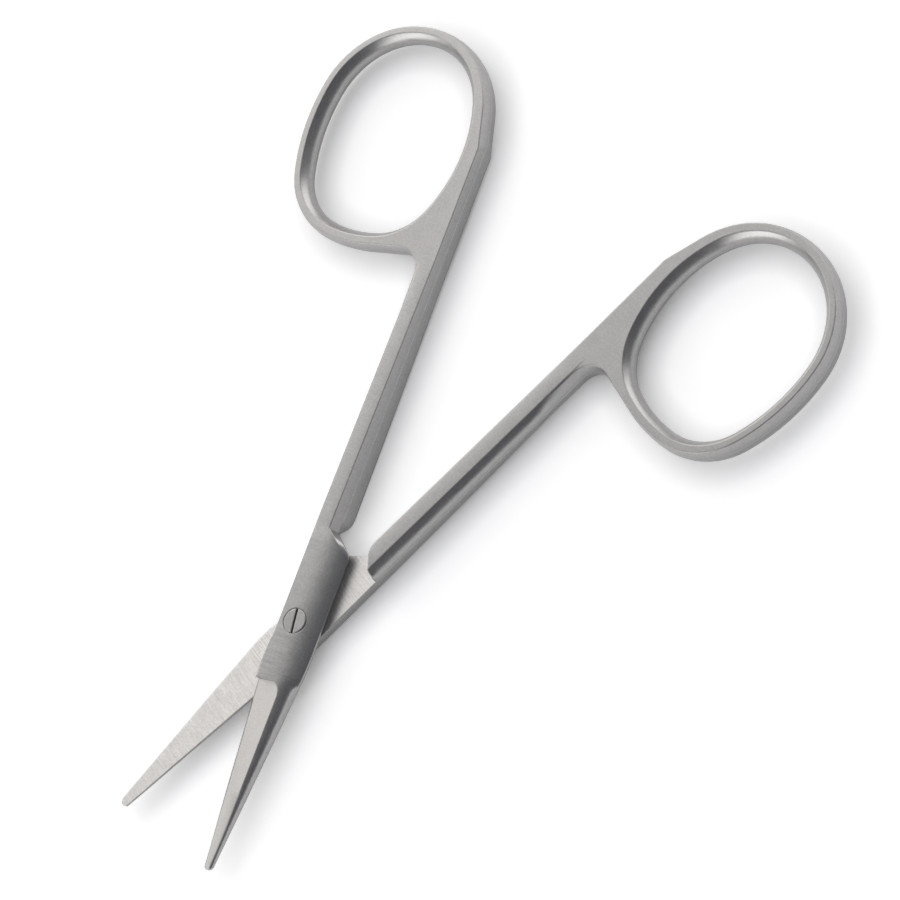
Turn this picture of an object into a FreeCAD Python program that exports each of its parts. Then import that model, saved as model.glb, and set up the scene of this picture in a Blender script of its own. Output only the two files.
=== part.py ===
import FreeCAD
import Part

import math
import os
from collections import namedtuple

V = FreeCAD.Vector

# Straight iris scissors, 115 mm long when closed, lying open on a flat surface.
# Millimetres. The pivot axis is Z, the two blades slide on the plane z = 0, and +Y points from
# the pivot to the finger rings, midway between them. Each half is drawn closed, with its ring on
# the -X side, its outer face up and its blade along -Y; the lower half is the same forging turned
# over about Y. Both are then turned by half the opening and lifted until the joint's underside
# lies on the ground at z = 0.

# How far the halves stand open, as the scissors lie
OPEN_ANGLE = 29.6

# Joint: the flat box that holds the screw, and the shoulders that the other half's box closes on
BOX_HALF_THICKNESS = 2.42
BOX_RIGHT = 3.1
BOX_DOME_WIDTH = 2.8
BOX_EDGE_LAND = 0.6
BOX_START_Y = -2.0
BOX_END_Y = 12.8
BOX_CORNER_RADIUS = 1.5
SHOULDER_ANGLE = 40.0
SHOULDER_CLEARANCE = 0.5
SHOULDER_CORNER_RADIUS = 2.3
UPPER_SHOULDER_LEAN = 20.4
LOWER_SHOULDER_LEAN = 0.0
SHANK_START_Y = 14.4
FACE_CLEARANCE = 0.03

# Shank: flat faces above and below, a flat inner side and a crowned outer side
SHANK_INNER_X = -0.1
SHANK_FLAT_WIDTH = 2.23
SHANK_CROWN = 0.7

# Finger ring: the hole as it shows in the flat face, the rim round it and the crowned wall in it.
# Each quarter of an outline has a side arc, a corner arc and an end arc. The corner's share is
# its radius against that of an outline with no end arc, and the spread is the end arc's half angle.
HOLE_CENTRE_X = -14.55
HOLE_CENTRE_Y = 65.55
HOLE_HALF_WIDTH = 12.42
HOLE_FAR_LENGTH = 14.6
HOLE_NEAR_LENGTH = 14.3
HOLE_OUTER_SIDE_RADIUS = 25.0
HOLE_INNER_SIDE_RADIUS = 20.0
FAR_END_SPREAD = 15.0
FAR_CORNER_SHARE = 0.98
NEAR_END_SPREAD = 12.0
NEAR_CORNER_SHARE = 0.78
HOLE_CROWN = 1.0
RIM_OUTER = 0.88
RIM_FAR = 0.85
RIM_NEAR = 0.95
RIM_INNER = 1.35
RIM_CROWN = 0.38
RING_HALF_THICKNESS = 1.75
NECK_RADIUS = 3.3
NECK_FLARE = 0.3
NECK_FLARE_LENGTH = 13.0
NECK_Y = 51.7
INNER_EDGE_END_Y = 66.3

# Blade: crowned back, one ground bevel outside, flat inside
BLADE_TIP_Y = -33.56
BLADE_TIP_HALF_THICKNESS = 0.5
BLADE_TIP_DOME_WIDTH = 0.55
BLADE_TAPER_EASE = 5.0
BEVEL_START_Y = -8.2
BEVEL_CORNER_RADIUS = 1.4
BEVEL_CORNER_X = -0.2
BEVEL_SIDE_LEAN = 15.0
BEVEL_SLOPE = 0.42
TIP_ROUNDNESS = 1.05
HEEL_Y = -9.0
HEEL_CROWN = 1.05
UPPER_EDGE_HEEL_X = -3.55
UPPER_EDGE_TIP_X = -1.05
UPPER_EDGE_LAND = 0.05
UPPER_BACK_X = 3.15
UPPER_BACK_TIP_X = 0.33
LOWER_EDGE_HEEL_X = -2.5
LOWER_EDGE_TIP_X = -0.53
LOWER_EDGE_LAND = 0.35
LOWER_BACK_X = 3.55
LOWER_BACK_TIP_X = 0.68

# Pivot screw: slotted cheese head let into the upper half, threaded into the lower half
HEAD_RADIUS = 1.62
HEAD_HEIGHT = 1.0
HEAD_GAP = 0.1
SCREW_RADIUS = 1.1
RUNNING_GAP = 0.05
THREAD_GAP = 0.02
SLOT_WIDTH = 0.3
SLOT_DEPTH = 0.45
SLOT_TURN = 23.2

# Sizes that follow from the ones above
SHANK_FLAT_X = SHANK_INNER_X - SHANK_FLAT_WIDTH
SHANK_END_Y = NECK_Y - 0.35 * NECK_RADIUS
FAR = 200.0

# What sets one half apart from the other: the cutting edge's line and upright land, the line of
# the blade's back, and the lean of the shoulder
Kind = namedtuple("Kind", "edge_heel_x edge_tip_x land back_x back_tip_x lean")
UPPER = Kind(UPPER_EDGE_HEEL_X, UPPER_EDGE_TIP_X, UPPER_EDGE_LAND, UPPER_BACK_X, UPPER_BACK_TIP_X,
             UPPER_SHOULDER_LEAN)
LOWER = Kind(LOWER_EDGE_HEEL_X, LOWER_EDGE_TIP_X, LOWER_EDGE_LAND, LOWER_BACK_X, LOWER_BACK_TIP_X,
             LOWER_SHOULDER_LEAN)


def half_thickness(y):
    """Half thickness of the shank, which thins evenly from the joint to the ring."""
    t = (y - SHANK_START_Y) / (SHANK_END_Y - SHANK_START_Y)
    return mix(BOX_HALF_THICKNESS, RING_HALF_THICKNESS, min(1.0, max(0.0, t)))


def polygon(points):
    return Part.Wire(Part.makePolygon(points + points[:1]).Edges)


def prism(points, bottom, top):
    """A plan outline of (x, y) points carried from one height to another."""
    outline = polygon([V(x, y, bottom) for x, y in points])
    return Part.Face(outline).extrude(V(0, 0, top - bottom))


def quarter_arcs(half_width, half_length, side_radius, spread, share):
    """A quarter outline from the +X axis to the +Y axis as (centre, radius, start angle, end angle)."""
    single = (2 * side_radius * half_width - half_width ** 2 - half_length ** 2) / (2 * (side_radius - half_length))
    corner_radius = share * single
    turn = math.radians(spread)
    across = side_radius - half_width
    up = half_length - corner_radius
    a = 2 * (1 - math.cos(turn))
    b = math.sin(turn) * across - (1 - math.cos(turn)) * up
    c = across ** 2 + up ** 2 - (side_radius - corner_radius) ** 2
    extra = (math.sqrt(b * b - a * c) - b) / a
    side = V(-across, 0, 0)
    end = V(0, up - extra, 0)
    corner = end + V(math.sin(turn), math.cos(turn), 0) * extra
    side_turn = math.atan2(corner.y - side.y, corner.x - side.x)
    end_turn = math.pi / 2 - turn
    return [(side, side_radius, 0.0, side_turn), (corner, corner_radius, side_turn, end_turn),
            (end, corner_radius + extra, end_turn, math.pi / 2)]


def oval_arcs(rim):
    """The ring's outline as tangent arcs (centre, radius, start, end), anticlockwise from +X.

    rim gives the wall beyond the hole on the outer, far, inner and near side.
    """
    outer, far, inner, near = rim
    sides = {1: (HOLE_HALF_WIDTH + inner, HOLE_INNER_SIDE_RADIUS + inner),
             -1: (HOLE_HALF_WIDTH + outer, HOLE_OUTER_SIDE_RADIUS + outer)}
    ends = {1: (HOLE_FAR_LENGTH + far, FAR_END_SPREAD, FAR_CORNER_SHARE),
            -1: (HOLE_NEAR_LENGTH + near, NEAR_END_SPREAD, NEAR_CORNER_SHARE)}
    middle = V(HOLE_CENTRE_X, HOLE_CENTRE_Y, 0)
    arcs = []
    for sx, sy in ((1, 1), (-1, 1), (-1, -1), (1, -1)):
        half_width, side_radius = sides[sx]
        half_length, spread, share = ends[sy]
        quarter = []
        for centre, radius, t0, t1 in quarter_arcs(half_width, half_length, side_radius, spread, share):
            hub = middle + V(sx * centre.x, sy * centre.y, 0)
            first, last = (hub + V(sx * math.cos(t), sy * math.sin(t), 0) * radius for t in (t0, t1))
            quarter.append((hub, radius, first, last) if sx == sy else (hub, radius, last, first))
        arcs += quarter if sx == sy else quarter[::-1]
    return arcs


def oval(grow, rim, z):
    """The ring's outline at one height, every arc moved outwards by grow."""
    edges = []
    for centre, radius, start, end in oval_arcs(rim):
        a = centre + (start - centre) * ((radius + grow) / radius)
        b = centre + (end - centre) * ((radius + grow) / radius)
        edges.append(arc_about(centre, radius + grow, a, b, V(0, 0, z)))
    return Part.Wire(edges)


def arc_about(centre, radius, start, end, lift):
    """The short arc from start to end."""
    middle = centre + ((start + end) * 0.5 - centre).normalize() * radius
    return Part.Arc(start + lift, middle + lift, end + lift).toShape()


def crown_arc(y, z_from, z_to):
    """Part of the shank's crowned outer side, between two heights."""
    tall = half_thickness(y)
    radius = (tall * tall + SHANK_CROWN * SHANK_CROWN) / (2 * SHANK_CROWN)
    centre_x = SHANK_FLAT_X - SHANK_CROWN + radius
    def at(z):
        return V(centre_x - math.sqrt(radius * radius - z * z), y, z)
    return Part.Arc(at(z_from), at((z_from + z_to) / 2), at(z_to)).toShape()


def shank_section(y):
    """Flat above, below and inside, crowned outside."""
    tall = half_thickness(y)
    corners = [V(SHANK_FLAT_X, y, tall), V(SHANK_INNER_X, y, tall),
               V(SHANK_INNER_X, y, -tall), V(SHANK_FLAT_X, y, -tall)]
    lines = [Part.LineSegment(a, b).toShape() for a, b in zip(corners, corners[1:])]
    return Part.Wire(lines + [crown_arc(y, -tall, tall)])


def make_shank():
    """The bar from the box to inside the ring's web."""
    joint = Part.Face(shank_section(BOX_START_Y)).extrude(V(0, SHANK_START_Y - BOX_START_Y, 0))
    bar = Part.makeLoft([shank_section(SHANK_START_Y), shank_section(SHANK_END_Y)], True, True)
    return joint.fuse(bar)


def tangent_arc(arcs, outside, side):
    """Which arc a line from a point outside touches, and where.

    side is 1 if the line meets the arcs while they run away from the point, and -1 if it leaves
    them as they run towards it.
    """
    for i, (centre, radius, start, end) in enumerate(arcs):
        back = outside - centre
        swing = math.acos(min(1.0, radius / back.Length)) * side
        u = back.normalize()
        touch = centre + V(u.x * math.cos(swing) - u.y * math.sin(swing),
                           u.x * math.sin(swing) + u.y * math.cos(swing), 0) * radius
        whole = (start - centre).getAngle(end - centre)
        if (start - centre).getAngle(touch - centre) + (touch - centre).getAngle(end - centre) < whole + 1e-6:
            return i, touch
    return len(arcs) - 1, arcs[-1][3]


def make_ring_blank():
    """The ring and its web as an even plate with a crowned rim, its hole not yet cut.

    The web's edge runs straight from the ring's near side to the neck, and the shank's inner side
    ends in a short straight that meets the ring's side without a corner.
    """
    arcs = oval_arcs((RIM_OUTER, RIM_FAR, RIM_INNER, RIM_NEAR))
    neck = V(SHANK_FLAT_X - NECK_FLARE, NECK_Y, 0)
    stub = V(SHANK_FLAT_X, NECK_Y - NECK_FLARE_LENGTH, 0)
    inner_end = V(SHANK_INNER_X, INNER_EDGE_END_Y, 0)
    first, join = tangent_arc(arcs[:3], inner_end, 1)
    last, leave = tangent_arc(arcs[7:], neck, -1)
    last += 7
    neck_centre, neck_start, neck_end = corner_arc(leave, neck, stub, NECK_RADIUS)
    curves = [arcs[first][:2] + (join, arcs[first][3])] + arcs[first + 1:last]
    curves.append(arcs[last][:3] + (leave,))
    path = [arc_about(*arc, V()) for arc in curves]
    path.append(Part.LineSegment(leave, neck_start).toShape())
    path.append(arc_about(neck_centre, NECK_RADIUS, neck_start, neck_end, V()))
    corners = [neck_end, stub, V(SHANK_INNER_X, stub.y, 0), inner_end, join]
    path += [Part.LineSegment(a, b).toShape() for a, b in zip(corners, corners[1:])]
    plate = Part.Face(Part.Wire(path)).extrude(V(0, 0, 2 * RING_HALF_THICKNESS))
    plate.translate(V(0, 0, -RING_HALF_THICKNESS))
    past_end = inner_end + (inner_end - join).normalize() * 3
    beads = [curved_bead(*arc, 1) for arc in curves]
    beads.append(curved_bead(neck_centre, NECK_RADIUS, neck_start, neck_end, -1))
    beads += [straight_bead(a, b) for a, b in ((leave, neck_start), (neck_end, stub), (past_end, join))]
    beyond = prism([(SHANK_INNER_X, 0), (FAR, 0), (FAR, FAR), (SHANK_INNER_X, FAR)], -FAR, FAR)
    return plate.fuse(beads).cut(beyond).removeSplitter()


def corner_arc(a, corner, b, radius):
    """Centre and touching points of an arc that rounds the corner of two straights."""
    u = (a - corner).normalize()
    w = (b - corner).normalize()
    half = u.getAngle(w) / 2
    centre = corner + (u + w).normalize() * (radius / math.sin(half))
    reach = radius / math.tan(half)
    return centre, corner + u * reach, corner + w * reach


def bead_face(root, out):
    """Section of the rim: square inside, crowned outside; root lies on the flat faces' edge."""
    tall = V(0, 0, RING_HALF_THICKNESS)
    back = root - out * RIM_CROWN
    sides = [root + tall, back + tall, back - tall, root - tall]
    edges = [Part.LineSegment(a, b).toShape() for a, b in zip(sides, sides[1:])]
    edges.append(Part.Arc(root - tall, root + out * RIM_CROWN, root + tall).toShape())
    return Part.Face(Part.Wire(edges))


def curved_bead(centre, radius, start, end, outward):
    """The rim along an arc; outward is 1 where the arc bulges and -1 where it is hollow."""
    out = (start - centre).normalize()
    turn = math.degrees(out.getAngle(end - centre))
    side = 1 if out.cross(end - centre).z > 0 else -1
    return bead_face(start, out * outward).revolve(centre, V(0, 0, side), turn)


def straight_bead(start, end):
    """The rim along a straight, with the plate on its left."""
    along = (end - start).normalize()
    return bead_face(start, V(along.y, -along.x, 0)).extrude(end - start)


def make_hole_tool():
    """The finger hole, waisted at mid-height so that the wall round it is crowned."""
    reach = 1.4
    tall = reach * RING_HALF_THICKNESS
    spread = HOLE_CROWN * (reach * reach - 1)
    faces = [Part.Face(oval(spread, (0, 0, 0, 0), -tall)), Part.Face(oval(spread, (0, 0, 0, 0), tall))]
    for centre, radius, start, end in oval_arcs((0, 0, 0, 0)):
        out = (start - centre).normalize()
        waist = Part.BezierCurve()
        waist.setPoles([centre + out * (radius + spread) + V(0, 0, -tall),
                        centre + out * (radius - 2 * HOLE_CROWN - spread),
                        centre + out * (radius + spread) + V(0, 0, tall)])
        turn = math.degrees(out.getAngle(end - centre))
        side = 1 if out.cross(end - centre).z > 0 else -1
        faces.append(waist.toShape().revolve(centre, V(0, 0, side), turn))
    shell = Part.Shell(Part.Compound(faces).Faces)
    shell.sewShape()
    tool = Part.Solid(shell)
    return tool if tool.Volume > 0 else tool.reversed()


def dome_edges(y, tall, back_x, dome, land, left_x):
    """Top and back of the box or blade: flat, then rounded down to a small upright land."""
    flat_end = V(back_x - dome, y, tall)
    knee = V(back_x, y, land)
    round_side = Part.BezierCurve()
    round_side.setPoles([flat_end, V(back_x, y, tall), knee])
    return [Part.LineSegment(V(left_x, y, tall), flat_end).toShape(), round_side.toShape(),
            Part.LineSegment(knee, V(back_x, y, 0)).toShape()]


def make_box():
    """The wide part of the joint that crosses over the other half, above the sliding plane."""
    left_x = SHANK_INNER_X - 1.0
    edges = dome_edges(BOX_START_Y, BOX_HALF_THICKNESS, BOX_RIGHT, BOX_DOME_WIDTH, BOX_EDGE_LAND, left_x)
    close = [Part.LineSegment(V(BOX_RIGHT, BOX_START_Y, 0), V(left_x, BOX_START_Y, 0)).toShape(),
             Part.LineSegment(V(left_x, BOX_START_Y, 0), V(left_x, BOX_START_Y, BOX_HALF_THICKNESS)).toShape()]
    bar = Part.Face(Part.Wire(edges + close)).extrude(V(0, BOX_END_Y - BOX_START_Y, 0))
    shoulder = V(SHANK_INNER_X, BOX_END_Y, 0)
    corner = V(BOX_RIGHT, BOX_END_Y - (BOX_RIGHT - SHANK_INNER_X) * math.tan(math.radians(SHOULDER_ANGLE)), 0)
    side = V(BOX_RIGHT, BOX_START_Y, 0)
    centre, side_end, slant_end = corner_arc(side, corner, shoulder, BOX_CORNER_RADIUS)
    path = [Part.LineSegment(side, side_end).toShape(),
            arc_about(centre, BOX_CORNER_RADIUS, side_end, slant_end, V())]
    corners = [slant_end, shoulder, V(left_x, BOX_END_Y, 0), V(left_x, BOX_START_Y, 0), side]
    path += [Part.LineSegment(a, b).toShape() for a, b in zip(corners, corners[1:])]
    return bar.common(Part.Face(Part.Wire(path)).extrude(V(0, 0, FAR)))


def make_lap_tool(lean):
    """What is cut away under the box and blade, up to the slanting shoulder that the other box meets.

    lean is the angle by which the shoulder's foot stands back from its top.
    """
    fall = math.radians(SHOULDER_ANGLE)
    corner = V(SHANK_INNER_X, BOX_END_Y + SHOULDER_CLEARANCE / math.cos(fall), 0)
    inner = corner + V(0, FAR, 0)
    outer = corner - V(math.cos(fall), math.sin(fall), 0) * FAR
    centre, inner_end, slant_end = corner_arc(inner, corner, outer, SHOULDER_CORNER_RADIUS)
    path = [arc_about(centre, SHOULDER_CORNER_RADIUS, inner_end, slant_end, V())]
    corners = [slant_end, outer, V(outer.x, -FAR, 0), V(FAR, -FAR, 0), V(FAR, inner_end.y, 0), inner_end]
    path += [Part.LineSegment(a, b).toShape() for a, b in zip(corners, corners[1:])]
    depth = 2 * BOX_HALF_THICKNESS
    tool = Part.Face(Part.Wire(path)).extrude(V(0, depth * math.tan(math.radians(lean)), -depth))
    tool.translate(V(0, 0, FACE_CLEARANCE / 2))
    return tool


def eased(y):
    """0 at the box and 1 at the tip, starting level and then falling evenly."""
    def run(d):
        return math.sqrt(d * d + BLADE_TAPER_EASE ** 2) - BLADE_TAPER_EASE
    return run(BOX_START_Y - y) / run(BOX_START_Y - BLADE_TIP_Y)


def mix(a, b, t):
    return a + (b - a) * t


def edge_x(y, kind):
    """The cutting edge's line."""
    return mix(kind.edge_heel_x, kind.edge_tip_x, (y - HEEL_Y) / (BLADE_TIP_Y - HEEL_Y))


def back_line_x(y, kind):
    """The line of the blade's back, which leaves the box's side at the box's near end."""
    start_x = kind.back_x if y < BOX_START_Y else BOX_RIGHT
    return mix(start_x, kind.back_tip_x, eased(y))


def blade_section(y, kind):
    """Half section of the blade blank; its outer left part is ground away by the bevel."""
    t = eased(y)
    tall = mix(BOX_HALF_THICKNESS, BLADE_TIP_HALF_THICKNESS, t)
    back_x = back_line_x(y, kind)
    dome = mix(BOX_DOME_WIDTH, BLADE_TIP_DOME_WIDTH, min(1.0, 1.5 * t))
    land = BOX_EDGE_LAND * tall / BOX_HALF_THICKNESS
    side_x = SHANK_FLAT_X - SHANK_CROWN
    flare = min(1.0, (BOX_START_Y - y) / (BOX_START_Y - BEVEL_START_Y))
    side_x = mix(side_x, edge_x(y, kind), flare)
    crown = mix(SHANK_CROWN, HEEL_CROWN, flare)
    flat_x = side_x + crown
    radius = (tall * tall + crown * crown) / (2 * crown)
    middle_x = side_x + radius - math.sqrt(radius * radius - tall * tall / 4)
    side = Part.Arc(V(side_x, y, 0), V(middle_x, y, tall / 2), V(flat_x, y, tall)).toShape()
    base = Part.LineSegment(V(back_x, y, 0), V(side_x, y, 0)).toShape()
    return Part.Wire([side] + dome_edges(y, tall, back_x, dome, land, flat_x) + [base])


def make_blade(kind):
    """The blade blank with its outer bevel ground and its tip rounded."""
    stations = [mix(BOX_START_Y, BEVEL_START_Y, share) for share in (0, 0.5, 1.08)]
    stations += [mix(BEVEL_START_Y, BLADE_TIP_Y, share) for share in (0.19, 0.39, 0.66, 1.04)]
    blank = Part.makeLoft([blade_section(y, kind) for y in stations], True, False)
    return blank.cut(bevel_tool(kind)).common(tip_outline(kind))


def bevel_tool(kind):
    """The wheel's cut: all above a slope that rises from the cutting edge, to a rounded end."""
    start = V(-FAR, BEVEL_START_Y, 0)
    corner = V(BEVEL_CORNER_X, BEVEL_START_Y, 0)
    r = BEVEL_CORNER_RADIUS
    lean = math.radians(BEVEL_SIDE_LEAN)
    centre = corner - V(0, r, 0)
    leave = centre + V(math.cos(lean), math.sin(lean), 0) * r
    middle = centre + V(math.cos((lean + math.pi / 2) / 2), math.sin((lean + math.pi / 2) / 2), 0) * r
    aside = leave + V(math.sin(lean), -math.cos(lean), 0) * FAR
    edges = [Part.LineSegment(start, corner), Part.Arc(corner, middle, leave), Part.LineSegment(leave, aside),
             Part.LineSegment(aside, V(start.x, aside.y, 0)), Part.LineSegment(V(start.x, aside.y, 0), start)]
    column = Part.Face(Part.Wire([e.toShape() for e in edges])).extrude(V(0, 0, FAR))
    column.translate(V(0, 0, -FAR / 2))
    heel = V(kind.edge_heel_x, HEEL_Y, kind.land)
    along = (V(kind.edge_tip_x, BLADE_TIP_Y, kind.land) - heel).normalize()
    across = V(-along.y, along.x, BEVEL_SLOPE).normalize()
    a = heel - along * FAR
    b = heel + along * FAR
    slab = Part.Face(polygon([a - across * FAR, b - across * FAR, b + across * FAR, a + across * FAR]))
    below = slab.extrude(V(0, 0, -2 * FAR))
    return column.cut(below)


def tip_outline(kind):
    """Everything inside the blade's plan, whose end is a small arc across its whole width."""
    end_y = BLADE_TIP_Y + (kind.back_tip_x - kind.edge_tip_x) / 2
    radius = TIP_ROUNDNESS * (back_line_x(end_y, kind) - edge_x(end_y, kind)) / 2
    centre = V((kind.edge_tip_x + kind.back_tip_x) / 2, BLADE_TIP_Y + radius, -1)
    body = prism([(-FAR, FAR), (-FAR, centre.y), (FAR, centre.y), (FAR, FAR)], -1, FAR)
    return body.fuse(Part.makeCylinder(radius, FAR, centre))


def make_half(kind):
    """One forged half, closed, before the pivot holes are made."""
    half = make_shank().fuse([make_box(), make_blade(kind), make_ring_blank()])
    half = half.cut(make_lap_tool(kind.lean)).cut(make_hole_tool())
    return half.removeSplitter()


def make_upper_half():
    """The half with the screw head let in."""
    half = make_half(UPPER)
    bore = Part.makeCylinder(SCREW_RADIUS + RUNNING_GAP, 2 * FAR, V(0, 0, -FAR))
    seat = Part.makeCylinder(HEAD_RADIUS + HEAD_GAP, FAR, V(0, 0, BOX_HALF_THICKNESS - HEAD_HEIGHT - RUNNING_GAP))
    half = half.cut(bore).cut(seat)
    half.rotate(V(0, 0, 0), V(0, 0, 1), OPEN_ANGLE / 2)
    return half


def make_lower_half():
    """The half that the screw is threaded into."""
    half = make_half(LOWER)
    half.rotate(V(0, 0, 0), V(0, 1, 0), 180)
    half = half.cut(Part.makeCylinder(SCREW_RADIUS + THREAD_GAP, 2 * FAR, V(0, 0, -FAR)))
    half.rotate(V(0, 0, 0), V(0, 0, 1), -OPEN_ANGLE / 2)
    return half


def make_pivot_screw():
    """Cheese head with one slot; both ends are flush with the halves."""
    head = Part.makeCylinder(HEAD_RADIUS, HEAD_HEIGHT, V(0, 0, BOX_HALF_THICKNESS - HEAD_HEIGHT))
    shank = Part.makeCylinder(SCREW_RADIUS, 2 * BOX_HALF_THICKNESS - HEAD_HEIGHT, V(0, 0, -BOX_HALF_THICKNESS))
    slot = Part.makeBox(SLOT_WIDTH, 4 * HEAD_RADIUS, SLOT_DEPTH + 1,
                        V(-SLOT_WIDTH / 2, -2 * HEAD_RADIUS, BOX_HALF_THICKNESS - SLOT_DEPTH))
    slot.rotate(V(0, 0, 0), V(0, 0, 1), SLOT_TURN)
    return head.fuse(shank).removeSplitter().cut(slot)


def main():
    os.makedirs("parts", exist_ok=True)
    parts = {"upper_half": make_upper_half(), "lower_half": make_lower_half(), "pivot_screw": make_pivot_screw()}
    for name, shape in parts.items():
        shape.translate(V(0, 0, BOX_HALF_THICKNESS))
        solids = shape.Solids
        print(name, "solids", len(solids), "valid", shape.isValid(), "volume", round(shape.Volume, 2),
              "faces", len(shape.Faces))
        shape = shape if len(solids) != 1 else solids[0]
        shape.exportStep(os.path.join("parts", name + ".step"))


main()
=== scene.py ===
"""Looks of a pair of straight iris scissors: satin steel halves and a slotted pivot screw.

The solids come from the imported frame. This script gives each of them a smooth skin with finely
broken edges and a ground finish, and lays them on a pale floor under soft studio light.
"""

import logging
import math
from dataclasses import dataclass, field
from enum import Enum

import bmesh
import bpy
from mathutils import Matrix, Vector


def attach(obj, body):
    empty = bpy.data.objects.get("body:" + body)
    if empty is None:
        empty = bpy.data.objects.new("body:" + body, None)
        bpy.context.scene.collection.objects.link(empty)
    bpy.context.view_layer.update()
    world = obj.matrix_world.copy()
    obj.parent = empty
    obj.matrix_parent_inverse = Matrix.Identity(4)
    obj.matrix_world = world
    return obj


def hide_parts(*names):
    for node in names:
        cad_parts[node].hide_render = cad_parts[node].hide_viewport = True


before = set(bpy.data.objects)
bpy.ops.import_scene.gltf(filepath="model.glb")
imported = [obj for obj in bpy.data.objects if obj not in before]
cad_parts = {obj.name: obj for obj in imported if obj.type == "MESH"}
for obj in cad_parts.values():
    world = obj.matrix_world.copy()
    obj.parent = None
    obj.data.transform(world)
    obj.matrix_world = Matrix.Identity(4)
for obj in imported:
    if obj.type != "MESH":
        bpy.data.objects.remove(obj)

log = logging.getLogger("iris_scissors")

MM = 0.001
HALF_OPENING = math.radians(14.8)
SCREW_SLOT_TURN = math.radians(23.2)
SLIDING_PLANE = 2.42 * MM
WHITE = (1.0, 1.0, 1.0, 1.0)

Socket = bpy.types.NodeSocket
Colour = tuple[float, float, float]
Span = tuple[float, float]


class Grain(Enum):
    """Direction in which a surface was ground, in the frame of its own half."""

    ALONG = "along the blade"
    ACROSS = "across the blade"


class Side(Enum):
    """Side of a half's middle line on which its shank lies, seen from above."""

    LEFT = -1.0
    RIGHT = 1.0


class NodeSheet:
    """A short way to write the nodes of a material or of the world."""

    def __init__(self, owner: bpy.types.Material | bpy.types.World) -> None:
        """Opens the owner's nodes.

        Args:
            owner: The material or the world.
        """
        owner.use_nodes = True
        self.nodes = owner.node_tree.nodes
        self.links = owner.node_tree.links

    def put(self, socket: Socket, value: object) -> None:
        """Links a socket to an output, or writes a constant into it.

        Args:
            socket: Input socket.
            value: An output socket, a number or a tuple.
        """
        if isinstance(value, Socket):
            self.links.new(value, socket)
        else:
            socket.default_value = value

    def add(self, kind: str, **inputs: object) -> bpy.types.Node:
        """Adds a node.

        Args:
            kind: Type of the node.
            inputs: What goes into the inputs of these names.

        Returns:
            The node.
        """
        node = self.nodes.new(kind)
        for name, value in inputs.items():
            self.put(node.inputs[name], value)
        return node

    def maths(self, operation: str, *values: object) -> Socket:
        """One step of arithmetic.

        Args:
            operation: Name of the operation.
            values: Its terms, as outputs or numbers.

        Returns:
            The result's socket.
        """
        node = self.nodes.new("ShaderNodeMath")
        node.operation = operation
        for socket, value in zip(node.inputs, values):
            self.put(socket, value)
        return node.outputs[0]

    def product(self, first: object, *others: object) -> Socket:
        """Several factors multiplied, from left to right.

        Args:
            first: The first factor.
            others: The other factors.

        Returns:
            The result's socket, or the first factor where it is the only one.
        """
        for other in others:
            first = self.maths("MULTIPLY", first, other)
        return first

    def vector(self, operation: str, *values: object) -> Socket:
        """One step of vector arithmetic.

        Args:
            operation: Name of the operation.
            values: Its terms; for SCALE the second is a number.

        Returns:
            The result's socket.
        """
        node = self.nodes.new("ShaderNodeVectorMath")
        node.operation = operation
        sockets = (node.inputs[0], node.inputs["Scale"]) if operation == "SCALE" else node.inputs
        for socket, value in zip(sockets, values):
            self.put(socket, value)
        return node.outputs["Value" if operation == "DOT_PRODUCT" else "Vector"]

    def ramp(self, value: object, span: Span, low: float = 0.0, high: float = 1.0) -> Socket:
        """An eased step.

        Args:
            value: What it follows.
            span: Where it begins to change and where it has changed.
            low: Result before the span.
            high: Result beyond it.

        Returns:
            The result's socket.
        """
        limits = {"From Min": span[0], "From Max": span[1], "To Min": low, "To Max": high}
        node = self.add("ShaderNodeMapRange", Value=value, **limits)
        node.interpolation_type = "SMOOTHSTEP"
        return node.outputs["Result"]

    def noise(self, place: Socket, size: tuple[float, float, float], detail: float) -> Socket:
        """Noise of a given grain.

        Args:
            place: Coordinates in metres.
            size: Size of its grain along each axis, in metres.
            detail: Octaves.

        Returns:
            A level about one half.
        """
        scaled = self.vector("MULTIPLY", place, tuple(1.0 / extent for extent in size))
        node = self.add("ShaderNodeTexNoise", Vector=scaled, Scale=1.0, Detail=detail)
        return node.outputs["Fac"]

    def to_world(self, direction: Socket) -> Socket:
        """A direction of the object's frame, given in the world's.

        Args:
            direction: Direction in the object's frame.

        Returns:
            The direction's socket.
        """
        node = self.add("ShaderNodeVectorTransform", Vector=direction)
        node.vector_type = "VECTOR"
        node.convert_from, node.convert_to = "OBJECT", "WORLD"
        return node.outputs[0]


@dataclass(frozen=True)
class Place:
    """Where a shaded point lies, in the frame of its own piece.

    Attributes:
        point: All three coordinates.
        across: Distance across the piece.
        along: Distance along the piece.
        height: Height above the ground.
    """

    point: Socket
    across: Socket
    along: Socket
    height: Socket

    @classmethod
    def of_piece(cls, sheet: NodeSheet, turn: float) -> "Place":
        """Reads the place of a point.

        Args:
            sheet: The material.
            turn: Angle in radians from +Y to the length of the piece.

        Returns:
            The place.
        """
        source = sheet.nodes.new("ShaderNodeTexCoord")
        lay = sheet.add("ShaderNodeMapping", Vector=source.outputs["Object"], Rotation=(0.0, 0.0, turn))
        lay.vector_type = "TEXTURE"
        parts = sheet.add("ShaderNodeSeparateXYZ", Vector=lay.outputs["Vector"])
        return cls(lay.outputs["Vector"], *parts.outputs)

    def sliding(self, sheet: NodeSheet) -> Socket:
        """One on the sliding plane and nothing above or below it."""
        off = sheet.maths("ABSOLUTE", sheet.maths("SUBTRACT", self.height, SLIDING_PLANE))
        return sheet.ramp(off, (0.05 * MM, 0.03 * MM))


def sideways(turn: float) -> tuple[float, float, float]:
    """Unit vector across a piece that is turned by this angle about +Z."""
    return math.cos(turn), math.sin(turn), 0.0


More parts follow.
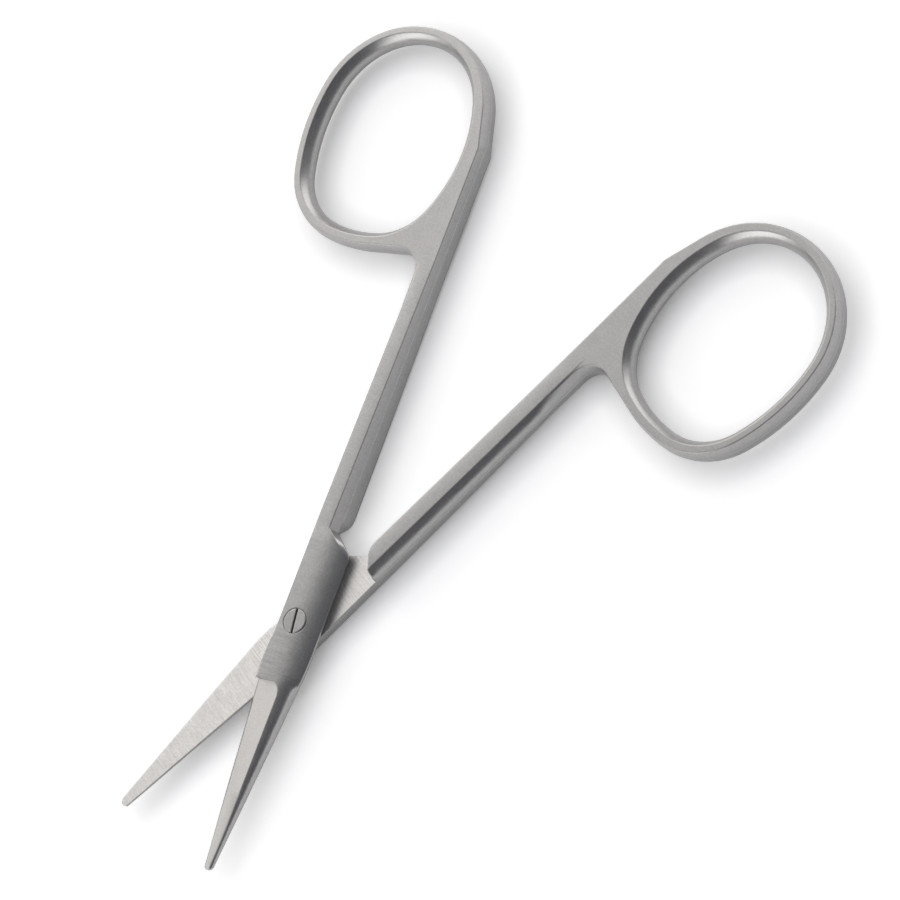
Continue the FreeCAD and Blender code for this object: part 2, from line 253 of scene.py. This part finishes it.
@dataclass(frozen=True)
class Crowns:
    """How far the faces of a half lean away from flat, so that they look as crowned as real ones.

    Lengths are in metres and in the half's own frame. A span says where a change begins and ends.

    Attributes:
        side: Side of the half's middle line on which its shank lies.
        shank_start: Span along the half where the box goes over into the shank.
        middles: Distance of the crown's middle line from the half's, on the box and on the shank.
        curves: One over the crown's radius, on the box and on the shank.
        half_width: Distance from the crown's middle line beyond which it leans no further.
        face_ends: Spans along the half where the crown begins at the blade and ends at the ring.
        outside: Span of height where a face counts as an outer one.
        sliding_lean: Lean of the sliding plane.
        wall_side: Span of distance from the half's middle line where the shank's walls begin.
        wall_ends: Spans along the half where the lean of the walls begins and ends.
        wall_curve: Lean of a wall for each metre above the sliding plane.
        box_plain_side: Distance from the half's middle line to the box's plain side.
        box_width: Distance over which the box's own crown would reach a lean of 45 degrees.
        box_ends: Spans along the half where the box's own crown begins and ends.
        box_sides: Spans away from the shank where it ends and where it begins.
        box_outside: Span of height where it begins.
        box_share: Share of it in the direction that is shaded.
    """

    side: Side
    shank_start: Span = (11.0 * MM, 14.0 * MM)
    middles: Span = (0.5 * MM, 1.2 * MM)
    curves: Span = (1 / (30 * MM), 1 / (22 * MM))
    half_width: float = 3.0 * MM
    face_ends: tuple[Span, Span] = ((-9.0 * MM, -6.0 * MM), (52.0 * MM, 44.0 * MM))
    outside: Span = (SLIDING_PLANE + 0.05 * MM, SLIDING_PLANE + 0.3 * MM)
    sliding_lean: float = -0.07
    wall_side: Span = (0.9 * MM, 1.3 * MM)
    wall_ends: tuple[Span, Span] = ((11.0 * MM, 12.0 * MM), (44.0 * MM, 40.0 * MM))
    wall_curve: float = 1 / (4.2 * MM)
    box_plain_side: float = 2.2 * MM
    box_width: float = 10.3 * MM
    box_ends: tuple[Span, Span] = ((-9.0 * MM, -6.5 * MM), (12.5 * MM, 10.5 * MM))
    box_sides: tuple[Span, Span] = ((3.8 * MM, 3.2 * MM), (-3.0 * MM, -2.6 * MM))
    box_outside: Span = (SLIDING_PLANE + 0.3 * MM, SLIDING_PLANE + 0.6 * MM)
    box_share: float = 0.8

    def face_lean(self, sheet: NodeSheet, place: Place) -> Socket:
        """Sideways lean of the outer faces and of the sliding plane.

        Args:
            sheet: The material.
            place: Place of the point.

        Returns:
            The lean, towards +X of the half's frame.
        """
        sign = self.side.value
        box, shank = self.middles
        middle = sheet.ramp(place.along, self.shank_start, box * -sign, shank * sign)
        off = sheet.maths("MINIMUM", sheet.maths("SUBTRACT", place.across, middle), self.half_width)
        lean = sheet.product(sheet.maths("MAXIMUM", off, -self.half_width),
                             sheet.ramp(place.along, self.shank_start, *self.curves),
                             *(sheet.ramp(place.along, span) for span in self.face_ends),
                             sheet.ramp(place.height, self.outside))
        return sheet.maths("ADD", lean, sheet.product(place.sliding(sheet), self.sliding_lean))

    def wall_lean(self, sheet: NodeSheet, place: Place) -> Socket:
        """Upward lean of the shank's walls.

        Args:
            sheet: The material.
            place: Place of the point.

        Returns:
            The lean, upward.
        """
        above = sheet.maths("MAXIMUM", sheet.maths("SUBTRACT", place.height, SLIDING_PLANE), 0.0)
        return sheet.product(above, self.wall_curve,
                             sheet.ramp(sheet.maths("ABSOLUTE", place.across), self.wall_side),
                             *(sheet.ramp(place.along, span) for span in self.wall_ends))

    def box_crown(self, sheet: NodeSheet, place: Place, turn: float, leant: Socket) -> Socket:
        """Blends the joint's outer face into one wide crown.

        Args:
            sheet: The material.
            place: Place of the point.
            turn: Angle in radians from +Y to the length of the half.
            leant: The surface's direction so far.

        Returns:
            The direction.
        """
        sign = -self.side.value
        out = sheet.maths("MULTIPLY", place.across, sign)
        past = sheet.maths("MAXIMUM", sheet.maths("ADD", out, self.box_plain_side), 0.0)
        lean = sheet.product(sheet.maths("POWER", sheet.product(past, 1 / self.box_width), 2.0), sign)
        crown = sheet.vector("ADD", sheet.vector("SCALE", sideways(turn), lean), (0.0, 0.0, 1.0))
        share = sheet.product(*(sheet.ramp(place.along, span) for span in self.box_ends),
                              *(sheet.ramp(out, span) for span in self.box_sides),
                              sheet.ramp(place.height, self.box_outside), self.box_share)
        change = sheet.vector("SUBTRACT", sheet.to_world(crown), leant)
        mixed = sheet.vector("ADD", leant, sheet.vector("SCALE", change, share))
        return sheet.vector("NORMALIZE", mixed)

    def direction(self, sheet: NodeSheet, place: Place, turn: float, edge: Socket) -> Socket:
        """The surface's direction with its crowns.

        Args:
            sheet: The material.
            place: Place of the point.
            turn: Angle in radians from +Y to the length of the half.
            edge: The direction with rounded edges.

        Returns:
            The direction.
        """
        lean = sheet.vector("ADD",
                            sheet.vector("SCALE", sideways(turn), self.face_lean(sheet, place)),
                            sheet.vector("SCALE", (0.0, 0.0, 1.0), self.wall_lean(sheet, place)))
        leant = sheet.vector("NORMALIZE", sheet.vector("ADD", edge, sheet.to_world(lean)))
        return self.box_crown(sheet, place, turn, leant)


@dataclass(frozen=True)
class Mottle:
    """Noise in the tone of the metal.

    Attributes:
        size: Size of its grain in metres.
        detail: Octaves.
        share: Its strength.
    """

    size: float
    detail: float
    share: float

    def level(self, sheet: NodeSheet, place: Place) -> Socket:
        """Its level at a place, about zero."""
        noise = sheet.noise(place.point, (self.size,) * 3, self.detail)
        return sheet.product(sheet.maths("SUBTRACT", noise, 0.5), self.share)


@dataclass(frozen=True)
class SteelFinish:
    """Ground and satined stainless steel.

    Attributes:
        name: Material name.
        colour: Linear base colour of the satined faces.
        roughness: Mean roughness of the metal.
        turn: Angle in radians from +Y to the length of the piece.
        grain: Which way the fine grinding marks run.
        fresh_with_painted_light: Linear base colour of the freshly ground sliding plane, if the piece
            has one; it is lighter partly for its brighter grind and partly as painted light that lifts
            the plate where the box shades it.
        crowns: Crowns of its faces, if it is a half.
        edge_round: Radius to which the edges are broken, in metres.
        mark_length: Length of a grinding mark in metres.
        mark_width: Width of a grinding mark in metres.
        mark_depth: Height of the marks in metres.
        clouds: Broad mottling of the satin.
        specks: Fine mottling of the satin.
        roughness_share: Share of the mottling that the roughness follows.
    """

    name: str
    colour: Colour
    roughness: float
    turn: float
    grain: Grain = Grain.ACROSS
    fresh_with_painted_light: Colour | None = None
    crowns: Crowns | None = None
    edge_round: float = 0.24 * MM
    mark_length: float = 3.0 * MM
    mark_width: float = 0.14 * MM
    mark_depth: float = 0.003 * MM
    clouds: Mottle = Mottle(1.6 * MM, 4.0, 0.15)
    specks: Mottle = Mottle(0.26 * MM, 2.0, 0.42)
    roughness_share: float = 0.35

    def build(self) -> bpy.types.Material:
        """Makes the node material.

        Returns:
            A metal with ground marks, satin clouds, broken edges and faintly crowned faces.
        """
        material = bpy.data.materials.new(self.name)
        sheet = NodeSheet(material)
        shader = sheet.nodes["Principled BSDF"]
        shader.inputs["Metallic"].default_value = 1.0
        place = Place.of_piece(sheet, self.turn)
        long, short = self.mark_length, self.mark_width
        mark_size = (short, long, short) if self.grain is Grain.ALONG else (long, short, short)
        marks = sheet.noise(place.point, mark_size, 3.0)
        streaks = sheet.product(sheet.maths("SUBTRACT", marks, 0.5), self.ground_share(sheet, place))
        mottled = sheet.maths("ADD", self.clouds.level(sheet, place), self.specks.level(sheet, place))
        tone = sheet.maths("ADD", sheet.maths("ADD", streaks, mottled), 1.0)
        colour = sheet.vector("SCALE", self.base_tone(sheet, place), tone)
        sheet.put(shader.inputs["Base Color"], colour)
        spread = sheet.maths("MULTIPLY_ADD", mottled, self.roughness_share, self.roughness)
        sheet.put(shader.inputs["Roughness"], spread)
        bump = sheet.add("ShaderNodeBump", Strength=0.35, Distance=self.mark_depth, Height=marks,
                         Normal=self.direction(sheet, place))
        sheet.put(shader.inputs["Normal"], bump.outputs["Normal"])
        return material

    def ground_share(self, sheet: NodeSheet, place: Place) -> object:
        """How strongly the marks show: most on the sliding plane, less about the screw.

        Args:
            sheet: The material.
            place: Place of the point.

        Returns:
            A share, as a socket or a number.
        """
        everywhere, round_screw, on_sliding_plane = 0.10, 0.40, 0.50
        if self.crowns is None:
            return everywhere
        joint = sheet.product(sheet.ramp(place.along, (-9.0 * MM, -7.0 * MM)),
                              sheet.ramp(place.along, (2.0 * MM, -2.0 * MM)))
        return sheet.maths("ADD", sheet.maths("MULTIPLY_ADD", joint, round_screw, everywhere),
                           sheet.product(place.sliding(sheet), on_sliding_plane))

    def base_tone(self, sheet: NodeSheet, place: Place) -> object:
        """The satin colour, with the lighter colour of the sliding plane: partly its brighter grind and
        partly painted light that lifts the plate where the box shades it.

        Args:
            sheet: The material.
            place: Place of the point.

        Returns:
            A colour, as a socket or a tuple.
        """
        if self.fresh_with_painted_light is None:
            return self.colour
        # Painted light: the sliding plane is made lighter, partly for its brighter grind and partly to
        # lift it where the box shades it.
        grind_and_painted_light_gain = tuple(fresh_with_painted_light - satin for fresh_with_painted_light, satin in zip(self.fresh_with_painted_light, self.colour))
        return sheet.vector("ADD", self.colour, sheet.vector("SCALE", grind_and_painted_light_gain, place.sliding(sheet)))

    def direction(self, sheet: NodeSheet, place: Place) -> Socket:
        """The surface's direction, with its edges rounded and its faces a little crowned.

        Args:
            sheet: The material.
            place: Place of the point.

        Returns:
            The direction.
        """
        edge = sheet.add("ShaderNodeBevel", Radius=self.edge_round)
        edge.samples = 6
        if self.crowns is None:
            return edge.outputs["Normal"]
        return self.crowns.direction(sheet, place, self.turn, edge.outputs["Normal"])


@dataclass
class SteelPiece:
    """One solid of the frame, shown as a merged mesh with smooth curves and sharp creases.

    Attributes:
        node: Name of the CAD node.
        body: Body that it rides on.
        slot: Material slot of the record; not used.
        finish: Its finish.
        crease: Angle in degrees above which an edge stays sharp.
    """

    node: str
    body: str
    slot: str
    finish: SteelFinish
    crease: float = 24.0

    def build(self) -> None:
        """Joins the node's loose triangles and dresses the result."""
        form = bmesh.new()
        form.from_mesh(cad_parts[self.node].data)
        bmesh.ops.remove_doubles(form, verts=form.verts, dist=0.002 * MM)
        bmesh.ops.dissolve_degenerate(form, edges=form.edges, dist=0.001 * MM)
        mesh = bpy.data.meshes.new(self.node + "_skin")
        form.to_mesh(mesh)
        form.free()
        stale = ("custom_normal", "sharp_face", "sharp_edge")
        for layer in [layer for layer in mesh.attributes if layer.name in stale]:
            mesh.attributes.remove(layer)
        mesh.shade_smooth()
        mesh.set_sharp_from_angle(angle=math.radians(self.crease))
        piece = bpy.data.objects.new(self.node + "_skin", mesh)
        bpy.context.scene.collection.objects.link(piece)
        mesh.materials.append(self.finish.build())
        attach(piece, self.body)
        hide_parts(self.node)
        log.info("%s: %d faces", piece.name, len(mesh.polygons))


@dataclass(frozen=True)
class Viewpoint:
    """The photograph's camera, worked back from the picture.

    Attributes:
        place: Where it stands.
        back: Unit vector from the object to the camera.
        up: Unit vector that is up in the picture.
        lens: Focal length in millimetres.
        sensor: Width of the sensor in millimetres.
        clip: Nearest and furthest distance that it sees, in metres.
    """

    place: tuple[float, float, float] = (0.33376, 0.02742, 0.47564)
    back: tuple[float, float, float] = (0.57158, -0.00302, 0.82054)
    up: tuple[float, float, float] = (-0.44650, 0.83784, 0.31411)
    lens: float = 180.3
    sensor: float = 36.0
    clip: Span = (0.01, 20.0)

    def build(self) -> None:
        """Makes the scene's camera."""
        data = bpy.data.cameras.new("camera")
        data.lens, data.sensor_width = self.lens, self.sensor
        data.clip_start, data.clip_end = self.clip
        camera = bpy.data.objects.new("camera", data)
        bpy.context.scene.collection.objects.link(camera)
        back = Vector(self.back).normalized()
        right = Vector(self.up).cross(back).normalized()
        turn = Matrix((right, back.cross(right), back)).transposed().to_4x4()
        camera.matrix_world = Matrix.Translation(self.place) @ turn
        bpy.context.scene.camera = camera


@dataclass(frozen=True)
class SoftBox:
    """A rectangular lamp that faces the scissors.

    Attributes:
        name: Name of the lamp.
        place: Where it stands, in metres.
        size: Width and height in metres.
        power: Watts.
        colour: Linear colour of the light.
        target: What it faces, in metres.
    """

    name: str
    place: tuple[float, float, float]
    size: tuple[float, float]
    power: float
    colour: Colour = (1.0, 1.0, 1.0)
    target: tuple[float, float, float] = (0.0, 0.03, 0.0)

    def build(self) -> None:
        """Makes the lamp."""
        data = bpy.data.lights.new(self.name, "AREA")
        data.shape = "RECTANGLE"
        data.size, data.size_y = self.size
        data.energy = self.power
        data.color = self.colour
        lamp = bpy.data.objects.new(self.name, data)
        bpy.context.scene.collection.objects.link(lamp)
        lamp.location = self.place
        aim = Vector(self.target) - Vector(self.place)
        lamp.rotation_mode = "QUATERNION"
        lamp.rotation_quaternion = aim.to_track_quat("-Z", "Y")


@dataclass(frozen=True)
class Sky:
    """Surroundings with a tall bright wall on one side, a darker ceiling and low bright ends.

    The tone follows the part of the direction that lies along a leaning axis, so it falls from
    the bright wall over the ceiling to the dark side. The ends add light near the horizon.

    Attributes:
        axis: Direction of the dark side.
        tones: Colour (red, green, blue) against the part of the direction along the axis.
        ends: Light added in the direction of +Y and in that of -Y.
        end_span: Part of the direction along Y over which that light rises.
    """

    axis: tuple[float, float, float] = (0.827, -0.265, 0.495)
    tones: tuple[tuple[float, Colour], ...] = (
        (-1.0, (1.40, 1.38, 1.35)),
        (-0.55, (1.36, 1.34, 1.31)),
        (-0.25, (1.02, 1.01, 1.00)),
        (-0.05, (0.84, 0.835, 0.83)),
        (0.18, (0.32, 0.325, 0.34)),
        (0.45, (0.19, 0.195, 0.21)),
        (1.0, (0.15, 0.155, 0.17)),
    )
    ends: tuple[float, float] = (1.2, 2.6)
    end_span: Span = (0.78, 0.96)

    def walls(self, sheet: NodeSheet, direction: Socket) -> Socket:
        """The tones along the axis.

        Args:
            sheet: The world.
            direction: Direction of the ray.

        Returns:
            The shader's socket.
        """
        part = sheet.vector("DOT_PRODUCT", direction, Vector(self.axis).normalized())
        share = sheet.add("ShaderNodeMapRange", **{"Value": part, "From Min": -1.0})
        ramp = sheet.add("ShaderNodeValToRGB", Fac=share.outputs["Result"])
        ramp.color_ramp.interpolation = "EASE"
        stops = ramp.color_ramp.elements
        stops[0].position, stops[1].position = 0.0, 1.0
        stops[0].color, stops[1].color = (*self.tones[0][1], 1.0), (*self.tones[-1][1], 1.0)
        for where, tint in self.tones[1:-1]:
            stops.new((where + 1) / 2).color = (*tint, 1.0)
        return sheet.add("ShaderNodeBackground", Color=ramp.outputs["Color"]).outputs[0]

    def build(self) -> None:
        """Makes the world: plain white to the camera, the tones to everything else."""
        world = bpy.data.worlds.new("surroundings")
        bpy.context.scene.world = world
        sheet = NodeSheet(world)
        direction = sheet.nodes.new("ShaderNodeTexCoord").outputs["Generated"]
        parts = sheet.add("ShaderNodeSeparateXYZ", Vector=direction)
        rises = [
            sheet.ramp(parts.outputs["Y"], tuple(sign * part for part in self.end_span), 0.0, level)
            for sign, level in zip((1.0, -1.0), self.ends)
        ]
        glow = sheet.add("ShaderNodeBackground", Strength=sheet.maths("ADD", *rises))
        lit = sheet.nodes.new("ShaderNodeAddShader")
        sheet.put(lit.inputs[0], self.walls(sheet, direction))
        sheet.put(lit.inputs[1], glow.outputs[0])
        white = sheet.add("ShaderNodeBackground", Color=WHITE)
        rays = sheet.nodes.new("ShaderNodeLightPath")
        mixed = sheet.add("ShaderNodeMixShader", Fac=rays.outputs["Is Camera Ray"])
        sheet.put(mixed.inputs[1], lit.outputs[0])
        sheet.put(mixed.inputs[2], white.outputs[0])
        sheet.put(sheet.nodes["World Output"].inputs["Surface"], mixed.outputs[0])


@dataclass
class Studio:
    """White floor, soft surroundings and a key lamp.

    Attributes:
        floor_size: Side of the floor in metres.
        floor_height: Height of the floor in metres, just clear of the scissors.
        floor_colour: Linear colour of the floor.
        lift: Tone added to the open floor where the camera sees it, so that it is white.
        mirrored: Share of that tone which the steel mirrors.
        painted_shade_reach: How far from the scissors the lift already falls, in metres; this paints a
            contact shadow on the floor round them.
        sky: The surroundings.
        lamps: The soft boxes.
    """

    floor_size: float = 6.0
    floor_height: float = -0.02 * MM
    floor_colour: Colour = (0.86, 0.86, 0.87)
    lift: float = 0.60
    mirrored: float = 0.65
    painted_shade_reach: float = 4.0 * MM
    sky: Sky = Sky()
    lamps: list[SoftBox] = field(default_factory=lambda: [
        SoftBox("key", (-0.95, 0.31, 0.62), (0.50, 0.50), 1.2, (1.0, 0.985, 0.96)),
    ])

    def floor_material(self) -> bpy.types.Material:
        """Makes a matt white floor, lifted where the camera or the steel sees it, with a painted
        contact shadow where the lift falls off near the scissors.

        Returns:
            The floor's material.
        """
        material = bpy.data.materials.new("floor")
        sheet = NodeSheet(material)
        matt = sheet.nodes["Principled BSDF"]
        matt.inputs["Base Color"].default_value = (*self.floor_colour, 1.0)
        matt.inputs["Roughness"].default_value = 1.0
        matt.inputs["Specular IOR Level"].default_value = 0.0
        # Painted shadow: the added glow falls off near the scissors, darkening the floor round them,
        # also as the steel mirrors it.
        painted_contact_shade = sheet.add("ShaderNodeAmbientOcclusion", Distance=self.painted_shade_reach)
        painted_contact_shade.samples = 16
        rays = sheet.nodes.new("ShaderNodeLightPath").outputs
        seen = sheet.maths("MULTIPLY_ADD", rays["Is Glossy Ray"], self.mirrored, rays["Is Camera Ray"])
        strength = sheet.product(seen, painted_contact_shade.outputs["AO"], self.lift)
        glow = sheet.add("ShaderNodeEmission", Color=WHITE, Strength=strength)
        both = sheet.nodes.new("ShaderNodeAddShader")
        sheet.put(both.inputs[0], matt.outputs[0])
        sheet.put(both.inputs[1], glow.outputs[0])
        sheet.put(sheet.nodes["Material Output"].inputs["Surface"], both.outputs[0])
        return material

    def build(self) -> None:
        """Lays the floor, lights the surroundings and sets up the lamps."""
        half = self.floor_size / 2
        mesh = bpy.data.meshes.new("floor")
        corners = [(-half, -half, 0), (half, -half, 0), (half, half, 0), (-half, half, 0)]
        mesh.from_pydata(corners, [], [(0, 1, 2, 3)])
        mesh.transform(Matrix.Translation((0, 0, self.floor_height)))
        floor = bpy.data.objects.new("floor", mesh)
        bpy.context.scene.collection.objects.link(floor)
        mesh.materials.append(self.floor_material())
        self.sky.build()
        for lamp in self.lamps:
            lamp.build()


def main() -> None:
    """Builds the camera, the studio and the three pieces."""
    logging.basicConfig(level=logging.INFO)
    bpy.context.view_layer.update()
    bpy.context.scene.view_settings.view_transform = "Standard"
    Viewpoint().build()
    Studio().build()
    # The second colour is the sliding plane's: lighter for its brighter grind, and lighter still as
    # painted light where the box shades the plate.
    steel, fresh_with_painted_light = (0.47, 0.46, 0.452), (0.65, 0.635, 0.62)
    upper = SteelFinish("upper_steel", steel, 0.34, HALF_OPENING, Grain.ACROSS, fresh_with_painted_light,
                        Crowns(Side.LEFT))
    lower = SteelFinish("lower_steel", steel, 0.34, -HALF_OPENING, Grain.ACROSS, fresh_with_painted_light,
                        Crowns(Side.RIGHT))
    screw = SteelFinish("screw_steel", (0.44, 0.432, 0.427), 0.33, SCREW_SLOT_TURN, Grain.ALONG)
    pieces = [
        SteelPiece("upper_half", "upper", "satin_steel", upper),
        SteelPiece("lower_half", "lower", "satin_steel", lower),
        SteelPiece("pivot_screw", "lower", "screw_steel", screw),
    ]
    for piece in pieces:
        piece.build()


if __name__ == "__main__":
    main()
